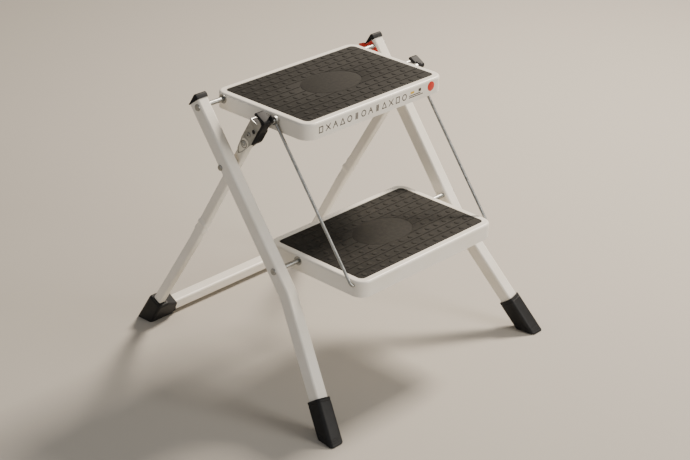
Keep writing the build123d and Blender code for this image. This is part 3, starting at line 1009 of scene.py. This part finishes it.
@dataclass
class FrontBoot:
    """Sleeve boot on a front leg, cut level with the floor, with a lip and a treaded sole."""

    side: Side
    start: float = 486.0
    size: Point2 = (28.0, 30.0)
    corner: float = 6.0
    # Rings of the mouth: growth over the leg's tube, corner radius, distance down the leg.
    mouth: tuple[Point3, ...] = ((-0.3, 4.0, 5.0), (0.1, 4.2, 1.2), (0.1, 4.2, 0.5))
    # Rings of the lip: inset from the boot's own outline, distance down the leg.
    lip: tuple[Point2, ...] = (
        (1.2, 0.0),
        (0.35, 0.25),
        (0.0, 0.9),
        (0.0, 4.6),
        (0.45, 5.1),
        (0.45, 5.9),
        (0.0, 6.4),
    )
    # Rings of one tread groove: inset, rise over the groove's own level.
    groove: tuple[Point2, ...] = ((0.0, 0.5), (0.5, 0.1), (0.5, -0.5), (0.0, -0.9))
    groove_levels: Point3 = (11.0, 8.2, 5.4)
    sole_round: float = 2.5
    # Rings of the hollow in the sole: inset, height over the floor.
    hollow: tuple[Point2, ...] = ((5.0, 0.0), (5.6, 0.8))

    @staticmethod
    def on_floor(place: Datum, outline: Sequence[Point2], height: float) -> list[Vector]:
        """Slide an outline down the leg until all of it is at one height over the floor.

        Args:
            place: Frame on the leg.
            outline: Outline across the leg.
            height: Height over the floor.

        Returns:
            The level ring.
        """
        ring = []
        for x, y in outline:
            start = place.point(x, y, 0)
            slide = (height * MM - start.z) / place.z_axis.z
            ring.append(start + place.z_axis * slide)
        return ring

    def build(self, finishes: FinishSet) -> None:
        """Make the boot.

        Args:
            finishes: The ladder's finishes.
        """
        boot = Shell()
        place = LINES.lower_leg(self.start)
        width, depth = LINES.leg_size
        outer = rounded_rectangle(*self.size, self.corner, 6)
        rings = []
        for grow, radius, along in self.mouth:
            tube = rounded_rectangle(width + grow, depth + grow, radius, 6)
            rings.append([place.point(x, y, along) for x, y in tube])
        for step_in, along in self.lip:
            rings.append([place.point(x, y, along) for x, y in inset(outer, step_in)])
        for level in self.groove_levels:
            for step_in, rise in self.groove:
                rings.append(self.on_floor(place, inset(outer, step_in), level + rise))
        sole = [(step_in, up) for up, step_in in reversed(edge_levels(0.0, self.sole_round, 4))]
        for step_in, height in (*sole, *self.hollow):
            rings.append(self.on_floor(place, inset(outer, step_in), height))
        boot.loft(rings)
        word = self.side.word
        piece = boot.build(f"front_boot_{word}", [finishes.boot], self.side, sharp=32)
        dress(piece, "front_frame", [f"front_foot_{word}"])


@dataclass
class LegCap:
    """Push-in cap on a front leg: a lip and a block whose top falls from a ridge to the back."""

    side: Side
    size: Point2 = (24.0, 26.0)
    leg_above_rod: float = 10.5
    profile: tuple[Point2, ...] = (
        (-12.7, 0.6),
        (12.7, 0.6),
        (12.7, 7.6),
        (10.6, 9.8),
        (8.2, 9.9),
        (-12.7, 1.5),
    )
    block_round: float = 1.6
    lip_height: float = 1.3
    plug: Point3 = (18.8, 20.8, -5.0)

    def build(self, finishes: FinishSet) -> None:
        """Make the cap.

        Args:
            finishes: The ladder's finishes.
        """
        plane = LINES.front_plane()
        top = plane.point(-LINES.leg_x, self.leg_above_rod, -LINES.leg_back) / MM
        across = datum(top, ACROSS, plane.y_axis)
        sideways = datum(top, plane.z_axis, LEFTWARDS)
        cap = Shell()
        cap.plate(rounded_rectangle(*self.plug[:2], 2.5, 4), across, self.plug[2], 0.4)
        cap.plate(rounded_rectangle(*self.size, 4, 6), across, 0, self.lip_height, 0.25, 0.3, 2)
        half = self.size[0] / 2 - 0.3
        edges = (self.block_round, self.block_round)
        cap.block(self.profile, self.block_round, sideways, (-half, half), edges, 4)
        word = self.side.word
        piece = cap.build(f"end_cap_{word}", [finishes.plastic], self.side, sharp=30)
        dress(piece, "front_frame", [f"leg_cap_{word}"])


@dataclass
class RearBootCollars:
    """Raised collars of a rear corner boot, one round the leg and one round the crossbar."""

    side: Side
    leg_along: float = 360.0
    leg_corner: float = 3.0
    bar: Point3 = (150.0, 233.3, 15.0)
    bar_size: Point2 = (24.0, 18.0)
    bar_corner: float = 4.0
    # Rings of a collar: distance into the boot, inset from the tube.
    stages: tuple[Point2, ...] = (
        (3.0, 0.0),
        (-1.6, 0.0),
        (-2.0, -0.9),
        (-1.7, -2.0),
        (-0.9, -2.5),
        (1.5, -2.5),
        (3.0, 0.0),
    )

    def build(self, finishes: FinishSet) -> None:
        """Make both collars as one piece.

        Args:
            finishes: The ladder's finishes.
        """
        plane = LINES.rear_plane()
        splay = math.radians(LINES.rear_splay)
        down = -math.sin(splay) * plane.x_axis - math.cos(splay) * plane.y_axis
        mouth = plane.point(LINES.rear_leg_x(self.leg_along), -self.leg_along) / MM
        leg = datum(mouth, ACROSS, down)
        bar = datum((-self.bar[0], self.bar[1], self.bar[2]), Vector((0, 1, 0)), LEFTWARDS)
        collars = Shell()
        for place, (width, depth), corner in (
            (leg, LINES.rear_size, self.leg_corner),
            (bar, self.bar_size, self.bar_corner),
        ):
            tube = rounded_rectangle(width - 0.3, depth - 0.3, corner, 5)
            rings = []
            for along, step_in in self.stages:
                rings.append([place.point(x, y, along) for x, y in inset(tube, step_in)])
            collars.loft(rings)
        word = self.side.word
        piece = collars.build(f"rear_boot_collars_{word}", [finishes.boot], self.side, sharp=32)
        dress(piece, "rear_frame")


# ------------------------------------------------------------------ rear legs


@dataclass
class LegCrimp:
    """Crimped stretch of a rear leg, where the tube was pressed to turn outwards."""

    side: Side
    start: float = 140.0
    end: float = 194.0
    # Each ridge: its place down the leg, half its length and its height.
    outer_ridge: Point3 = (153.0, 7.0, 1.7)
    inner_ridge: Point3 = (169.0, 9.0, 2.4)
    rings: int = 28
    end_lip: float = 0.35
    deepening: float = 0.07

    @staticmethod
    def swell(along: float, ridge: Point3) -> float:
        """How far a ridge stands out at a distance down the leg."""
        reach = abs(along - ridge[0]) / ridge[1]
        return ridge[2] * 0.5 * (1 + math.cos(math.pi * reach)) if reach < 1 else 0.0

    def build(self, finishes: FinishSet) -> None:
        """Make the crimp.

        Args:
            finishes: The ladder's finishes.
        """
        plane = LINES.rear_plane()
        width, depth = LINES.rear_size
        outline = rounded_rectangle(width + 0.2, depth + 0.2, 3.1, 5)
        rings = []
        for step in range(self.rings + 1):
            along = self.start + (self.end - self.start) * step / self.rings
            lip = self.end_lip if step in (0, self.rings) else 0.0
            outer, inner = self.swell(along, self.outer_ridge), self.swell(along, self.inner_ridge)
            deepen = 1 + self.deepening * (outer + inner)
            ring = []
            for x, z in outline:
                share = x / (width / 2)
                grow = -outer * (-share) ** 0.5 if share < 0 else inner * share**0.5
                place_x = LINES.rear_leg_x(along) + x + grow + lip * share
                ring.append(plane.point(place_x, -along, z * deepen))
            rings.append(ring)
        crimp = Shell()
        crimp.loft(rings)
        piece = crimp.build(f"leg_crimp_{self.side.word}", [finishes.coat], self.side, sharp=50)
        dress(piece, "rear_frame")


@dataclass
class HeadSticker:
    """Pale rounded film with a ring, round the lower rivet of a leg head; the film is a painted
    highlight on the outer plate's lower end, drawn as a sticker.
    """

    side: Side
    face_x: float = 186.1
    thickness: float = 0.25
    corners: tuple[Point2, ...] = (
        (-6.6, 55),
        (-5.6, 33),
        (-0.6, 24.6),
        (3.4, 32.5),
        (9.6, 49),
        (6, 57),
    )
    corner_round: float = 5.0
    ring_centre: Point2 = (0.6, 45.6)
    ring_radius: float = 6.6
    ring_width: float = 0.16

    def build(self, finishes: FinishSet) -> None:
        """Make the pale film that paints the highlight, and its printed ring.

        Args:
            finishes: The ladder's finishes.
        """
        place = LINES.rear_side()
        level = self.face_x + self.thickness
        outline = rounded_outline(self.corners, self.corner_round)
        sticker = Shell()
        # The pale film paints the highlight that the lower end of the outer plate catches; it is
        # drawn as a sticker.
        sticker.plate(outline, place, self.face_x, level, 0, 0.1, 2)
        ring = circle(self.ring_radius, 36, self.ring_centre)
        ring.append(ring[0])
        inner, (centre_x, centre_y) = 1 - self.ring_width, self.ring_centre
        shift_x, shift_y = centre_x * self.ring_width, centre_y * self.ring_width
        hole = [(x * inner + shift_x, y * inner + shift_y) for x, y in ring]
        for a, b, c, d in zip(ring, ring[1:], hole[1:], hole):
            sticker.plate([a, b, c, d], place, level - 0.1, level + 0.08, slot=1)
        name = f"leg_head_sticker_{self.side.word}"
        piece = sticker.build(name, [finishes.pale, finishes.ink], self.side, sharp=30)
        dress(piece, "rear_frame")


@dataclass
class HeadEyelet:
    """Rolled steel eyelet, high on the outer plate of a leg head, with a black disc in its hole as
    painted shade.
    """

    side: Side
    centre: Point2 = (5.9, 79.5)
    face_x: float = 186.1
    radius: float = 4.6
    hole: float = 3.5
    shoulder: float = 0.4
    rim: float = 0.7
    bevel: float = 0.3
    disc: Point2 = (0.02, 0.16)

    def build(self, finishes: FinishSet) -> None:
        """Make the rim, and the black disc inside it that paints the hole's shade.

        Args:
            finishes: The ladder's finishes.
        """
        place = LINES.rear_side().moved(*self.centre)
        stages = (
            (self.radius, 0.0),
            (self.radius, self.shoulder),
            (self.radius - self.bevel, self.rim),
            (self.hole + self.bevel, self.rim),
            (self.hole, self.shoulder),
            (self.hole, 0.12),
        )
        eyelet = Shell()
        rings = []
        for radius, up in stages:
            rings.append([place.point(x, y, self.face_x + up) for x, y in circle(radius)])
        eyelet.loft(rings)
        # Black disc just over the plate, inside the rim: painted shade where the hole looks dark.
        low, high = (self.face_x + up for up in self.disc)
        eyelet.plate(circle(self.hole - 0.05), place, low, high, slot=1)
        name = f"leg_head_eyelet_{self.side.word}"
        piece = eyelet.build(name, [finishes.zinc, finishes.boot], self.side, sharp=30)
        dress(piece, "rear_frame")


@dataclass
class SlideLatch:
    """Slide catch in a leg head: a rib, a ribbed thumb cover and a nose over the stay's stud."""

    side: Side
    rib: Point2 = (169.8, 184.2)
    cover: Point2 = (167.2, 187.0)
    upper_inner_x: float = 170.2
    hook_outer_x: float = 173.2
    bottom: float = 57.0
    cover_step: float = 90.0
    top: float = 110.5
    front: float = 16.5
    neck: Point2 = (4.9, 12.7)
    rib_back: float = 8.3
    spine_top: float = 97.0
    head_back: Point2 = (-8.0, 104.5)
    hook: Point2 = (113.6, 116.8)
    hook_back: float = 9.0
    grips: int = 6
    grip_pitch: float = 3.1
    first_grip: float = 8.0
    grip_inset: float = 2.4

    def build(self, finishes: FinishSet) -> None:
        """Make the latch as one piece, from convex blocks that overlap.

        Args:
            finishes: The ladder's finishes.
        """
        place = LINES.rear_side()
        back, front = self.neck
        edge, bottom, top, step = self.front, self.bottom, self.top, self.cover_step
        tail, tail_low = self.head_back
        hook_back, (low, high) = self.hook_back, self.hook
        rib_back, rib_top = self.rib_back, self.spine_top
        neck_low, neck_top = rib_top - 1, top - 1
        spine = ((rib_back, bottom), (front, bottom), (front, rib_top), (rib_back, rib_top))
        neck = ((back, neck_low), (front, neck_low), (front, neck_top), (back, neck_top))
        face = (
            (front - 0.6, bottom),
            (edge - 1.6, bottom),
            (edge, bottom + 6),
            (edge, step - 4),
            (front - 0.6, step),
        )
        upper = ((front - 0.4, step - 5), (edge, step - 6), (edge, top - 2), (front - 0.4, top - 2))
        head = (
            (tail, tail_low),
            (edge, tail_low),
            (edge, top - 2.5),
            (edge - 2.5, top),
            (tail + 2.5, top),
            (tail, top - 2),
        )
        nose = ((edge, high - 2), (edge - 2, high), (hook_back, high))
        riser = ((hook_back, tail_low + 1), (edge, tail_low + 1), *nose)
        claw = ((hook_back, low), (edge, low), *nose)
        upper_span = (self.upper_inner_x, self.cover[1])
        riser_span = (self.upper_inner_x, self.hook_outer_x)
        claw_span = (self.cover[0], self.hook_outer_x - 1)
        latch = Shell()
        for corners, corner_radius, span, edges, steps in (
            (spine, 0.6, self.rib, (0.5, 0.5), 2),
            (neck, 0.6, self.rib, (0.5, 0.5), 2),
            (face, 1.6, self.cover, (1.4, 1.4), 4),
            (upper, 1.6, upper_span, (1.2, 1.2), 4),
            (head, 1.8, upper_span, (1.2, 1.2), 4),
            (riser, 0.8, riser_span, (0.6, 0.8), 3),
            (claw, 0.8, claw_span, (0.8, 0.6), 3),
        ):
            latch.block(corners, corner_radius, place, span, edges, steps)
        grip_span = (self.cover[0] + self.grip_inset, self.cover[1] - self.grip_inset)
        proud = edge + 0.5
        for number in range(self.grips):
            at = bottom + self.first_grip + self.grip_pitch * number
            grip = ((edge - 1, at), (proud, at + 0.4), (proud, at + 1.3), (edge - 1, at + 1.7))
            latch.block(grip, 0.3, place, grip_span, (0.5, 0.5), 2)
        word = self.side.word
        piece = latch.build(f"slide_latch_{word}", [finishes.plastic], self.side, sharp=34)
        dress(piece, f"latch_{word}", [f"latch_{word}"])


# ------------------------------------------------------------------ prints and stickers


class Mark(Enum):
    """Plain marks of the strip on the top step's skirt; none is a letter or a known sign."""

    RING = "ring"
    TRIANGLE = "triangle"
    BARS = "bars"
    CROSS = "cross"
    FRAME = "frame"
    PEAK = "peak"


@dataclass
class SkirtStrip:
    """Strip of small plain marks, ruled lines and blocks, and a red dot, on the top step."""

    front_y: float = -95.16
    middle_z: float = 436.2
    first_x: float = -130.0
    pitch: float = 16.0
    size: float = 10.6
    line: float = 1.6
    ink: Point2 = (-0.03, 0.06)
    marks: tuple[Mark, ...] = (
        Mark.FRAME,
        Mark.CROSS,
        Mark.PEAK,
        Mark.TRIANGLE,
        Mark.RING,
        Mark.BARS,
        Mark.RING,
        Mark.PEAK,
        Mark.BARS,
        Mark.TRIANGLE,
        Mark.CROSS,
        Mark.FRAME,
        Mark.RING,
    )
    # Ruled lines: height from the strip's middle and length.
    rules: tuple[Point2, ...] = ((-4.4, 32.0), (-1.4, 26.0))
    # Blocks: place from the start of the rules, width, height and material slot.
    blocks: tuple[tuple[float, float, float, float, int], ...] = (
        (7.0, 3.2, 9.0, 4.0, 1),
        (25.0, 3.6, 6.0, 5.0, 0),
    )
    dot: Point3 = (126.5, 438.4, 8.2)

    def stroke(self, shell: Shell, place: Datum, start: Point2, end: Point2) -> None:
        """Add one straight printed line.

        Args:
            shell: Shell to add to.
            place: Datum on the skirt.
            start: One end.
            end: Other end.
        """
        along = Vector((end[0] - start[0], end[1] - start[1])).normalized() * (self.line / 2)
        across = Vector((-along.y, along.x))
        a, b = Vector(start) - along, Vector(end) + along
        quad = [tuple(a - across), tuple(b - across), tuple(b + across), tuple(a + across)]
        shell.plate(quad, place, *self.ink)

    def lines(self, mark: Mark) -> list[tuple[Point2, Point2]]:
        """Set out the lines of one mark round its centre.

        Args:
            mark: Which mark.

        Returns:
            Pairs of ends.
        """
        half = self.size / 2 - 0.6
        narrow = half * 0.8
        closed = {
            Mark.RING: circle(half, 14),
            Mark.TRIANGLE: [(-half, -half), (half, -half), (0, half)],
            Mark.FRAME: [(-narrow, -half), (narrow, -half), (narrow, half), (-narrow, half)],
        }
        if mark in closed:
            points = closed[mark]
            return list(zip(points, points[1:] + points[:1]))
        if mark is Mark.BARS:
            return [((x, -half), (x, half)) for x in (-2.2, 0, 2.2)]
        if mark is Mark.CROSS:
            return [((-half, -half), (half, half)), ((-half, half), (half, -half))]
        return [((-half, -half), (0, half)), ((0, half), (half, -half)), ((-1.6, 0), (1.6, 0))]

    def build(self, finishes: FinishSet) -> None:
        """Make the printed strip and the dot.

        Args:
            finishes: The ladder's finishes.
        """
        face = datum((0, self.front_y, self.middle_z), ACROSS, Vector((0, -1, 0)))
        strip = Shell()
        for number, mark in enumerate(self.marks):
            place = face.moved(self.first_x + number * self.pitch, 0)
            for start, end in self.lines(mark):
                self.stroke(strip, place, start, end)
        print_x = self.first_x + len(self.marks) * self.pitch - 4
        for level, length in self.rules:
            self.stroke(strip, face, (print_x, level), (print_x + length, level))
        for x, up, width, height, slot in self.blocks:
            outline = rounded_rectangle(width, height, 0.4, 2)
            strip.plate(outline, face.moved(print_x + x, up), *self.ink, slot=slot)
        piece = strip.build("skirt_marks", [finishes.ink, finishes.yellow], sharp=30)
        dress(piece, "top_step")
        dot = Shell()
        x, z, radius = self.dot
        dot.plate(circle(radius, 48), face.moved(x, z - self.middle_z), -0.02, 0.25, 0, 0.12, 2)
        dress(dot.build("red_dot", [finishes.red]), "top_step")


@dataclass
class LegSticker:
    """Plain red sticker inside the right front leg, with a tab that stands out behind the leg."""

    face_x: float = 192.0
    film: tuple[Point2, ...] = (
        (-11.4, 10.2),
        (5.2, 10.2),
        (8.2, -4.0),
        (8.6, -20.0),
        (-11.4, -20.0),
    )
    tab: tuple[Point2, ...] = (
        (-26.0, 17.5),
        (-12.5, 14.0),
        (-8.0, 9.8),
        (-8.0, -6.0),
        (-26.0, 4.0),
    )

    def build(self, finishes: FinishSet) -> None:
        """Make the sticker and its tab as one piece.

        Args:
            finishes: The ladder's finishes.
        """
        plane = LINES.front_plane()
        centre = plane.point(self.face_x, 0, -LINES.leg_back) / MM
        inner = datum(centre, plane.z_axis, LEFTWARDS)
        sticker = Shell()
        sticker.plate(rounded_outline(self.film, 1.0, 3), inner, 0.02, 0.25, 0, 0.08, 2)
        sticker.plate(rounded_outline(self.tab, 1.5, 3), inner, 0.2, 0.6, 0.1, 0.1, 2)
        dress(sticker.build("leg_sticker", [finishes.red]), "front_frame")


# ------------------------------------------------------------------ stage


@dataclass(frozen=True)
class SoftLight:
    """A square soft light: place and side in metres, watts and sRGB tone."""

    name: str
    place: Point3
    size: float
    power: float
    tone: str

    def hang(self, target: Point3) -> None:
        """Hang the light so that it faces a point.

        Args:
            target: The point, in metres.
        """
        data = bpy.data.lights.new(self.name, "AREA")
        data.shape, data.size, data.energy = "SQUARE", self.size, self.power
        data.color = linear(self.tone)[:3]
        lamp = bpy.data.objects.new(self.name, data)
        lamp.location = self.place
        aim = Vector(target) - Vector(self.place)
        lamp.rotation_euler = aim.to_track_quat("-Z", "Y").to_euler()
        bpy.context.scene.collection.objects.link(lamp)


@dataclass
class Studio:
    """Floor, soft lights, pale world and camera; lengths in metres and angles in radians."""

    floor_size: float = 14.0
    floor_z: float = -0.0003
    lights: tuple[SoftLight, ...] = (
        SoftLight("key", (1.9, 0.1, 2.3), 0.6, 150, "#FFF2E2"),
        SoftLight("front", (0.9, -2.7, 1.4), 1.1, 52, "#FFFAF2"),
        SoftLight("fill", (-2.6, -0.6, 1.1), 2.4, 9, "#F4F7FF"),
    )
    lit_point: Point3 = (0, 0, 0.25)
    world_tone: str = "#F1EFEC"
    world_strength: float = 0.3
    eye: Point3 = (-1.8983, -1.7472, 1.4576)
    yaw: float = -0.8355
    pitch: float = -0.4546
    roll: float = 0.0331
    lens: float = 90.34
    sensor: float = 36.0
    shift: Point2 = (0.0019, -0.0057)
    clip: Point2 = (0.05, 50.0)

    def lay_floor(self) -> None:
        """Lay the floor just under the soles."""
        half = self.floor_size / 2
        signs = ((-1, -1), (1, -1), (1, 1), (-1, 1))
        corners = [(x * half, y * half, self.floor_z) for x, y in signs]
        mesh = bpy.data.meshes.new("floor")
        mesh.from_pydata(corners, [], [(0, 1, 2, 3)])
        mesh.materials.append(PaleFloor().build())
        floor = bpy.data.objects.new("floor", mesh)
        bpy.context.scene.collection.objects.link(floor)

    def light_up(self) -> None:
        """Hang the soft lights and set the pale world."""
        for light in self.lights:
            light.hang(self.lit_point)
        world = bpy.data.worlds.new("pale room")
        world.use_nodes = True
        background = world.node_tree.nodes["Background"]
        background.inputs["Color"].default_value = linear(self.world_tone)
        background.inputs["Strength"].default_value = self.world_strength
        bpy.context.scene.world = world

    def place_camera(self) -> None:
        """Set the camera up and make it the scene's own."""
        level, rise = math.cos(self.pitch), math.sin(self.pitch)
        cos_yaw, sin_yaw = math.cos(self.yaw), math.sin(self.yaw)
        forward = Vector((-sin_yaw * level, cos_yaw * level, rise))
        right = Vector((cos_yaw, sin_yaw, 0))
        up = right.cross(forward)
        turned_right = math.cos(self.roll) * right + math.sin(self.roll) * up
        turned_up = math.cos(self.roll) * up - math.sin(self.roll) * right
        data = bpy.data.cameras.new("camera")
        data.sensor_width, data.sensor_fit, data.lens = self.sensor, "HORIZONTAL", self.lens
        data.shift_x, data.shift_y = self.shift
        data.clip_start, data.clip_end = self.clip
        camera = bpy.data.objects.new("camera", data)
        turn = Matrix((turned_right, turned_up, -forward)).transposed().to_4x4()
        camera.matrix_world = Matrix.Translation(Vector(self.eye)) @ turn
        bpy.context.scene.collection.objects.link(camera)
        bpy.context.scene.camera = camera

    def build(self) -> None:
        """Make floor, lights and camera."""
        self.lay_floor()
        self.light_up()
        self.place_camera()


# ------------------------------------------------------------------ the whole ladder


class StepLadder:
    """The ladder: finishes for the CAD nodes, and the pieces that stand on or for them."""

    def __init__(self, frame: Mapping[str, Any]) -> None:
        """Keep the loaded frame and make the finishes."""
        self.frame = frame
        self.finishes = FinishSet()

    def finish_nodes(self) -> None:
        """Give each CAD node the finish of its slot in the record."""
        chosen = self.finishes.by_slot()
        subparts = self.frame["record"]["subparts"]
        slots = {entry["node"]: entry["material_slot"] for entry in subparts}
        for name, node in self.frame["nodes"].items():
            node.data.materials.clear()
            node.data.materials.append(chosen[slots[name]])
            LOG.info("node %s finished as %s", name, slots[name])

    def build(self) -> None:
        """Build every piece in order."""
        self.finish_nodes()
        StepMat("top_step", "top_mat", (0, 7.34, 450.0)).build(self.finishes)
        StepMat("lower_step", "lower_mat", (0, -114.16, 228.0)).build(self.finishes)
        for side in Side:
            FrontBoot(side).build(self.finishes)
            LegCap(side).build(self.finishes)
            RearBootCollars(side).build(self.finishes)
            LegCrimp(side).build(self.finishes)
            HeadSticker(side).build(self.finishes)
            HeadEyelet(side).build(self.finishes)
            SlideLatch(side).build(self.finishes)
        SkirtStrip().build(self.finishes)
        LegSticker().build(self.finishes)


def main() -> None:
    """Build the ladder on its frame and set the studio round it."""
    logging.basicConfig(level=logging.INFO, format="%(message)s")
    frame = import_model()
    StepLadder(frame).build()
    Studio().build()


if __name__ == "__main__":
    main()
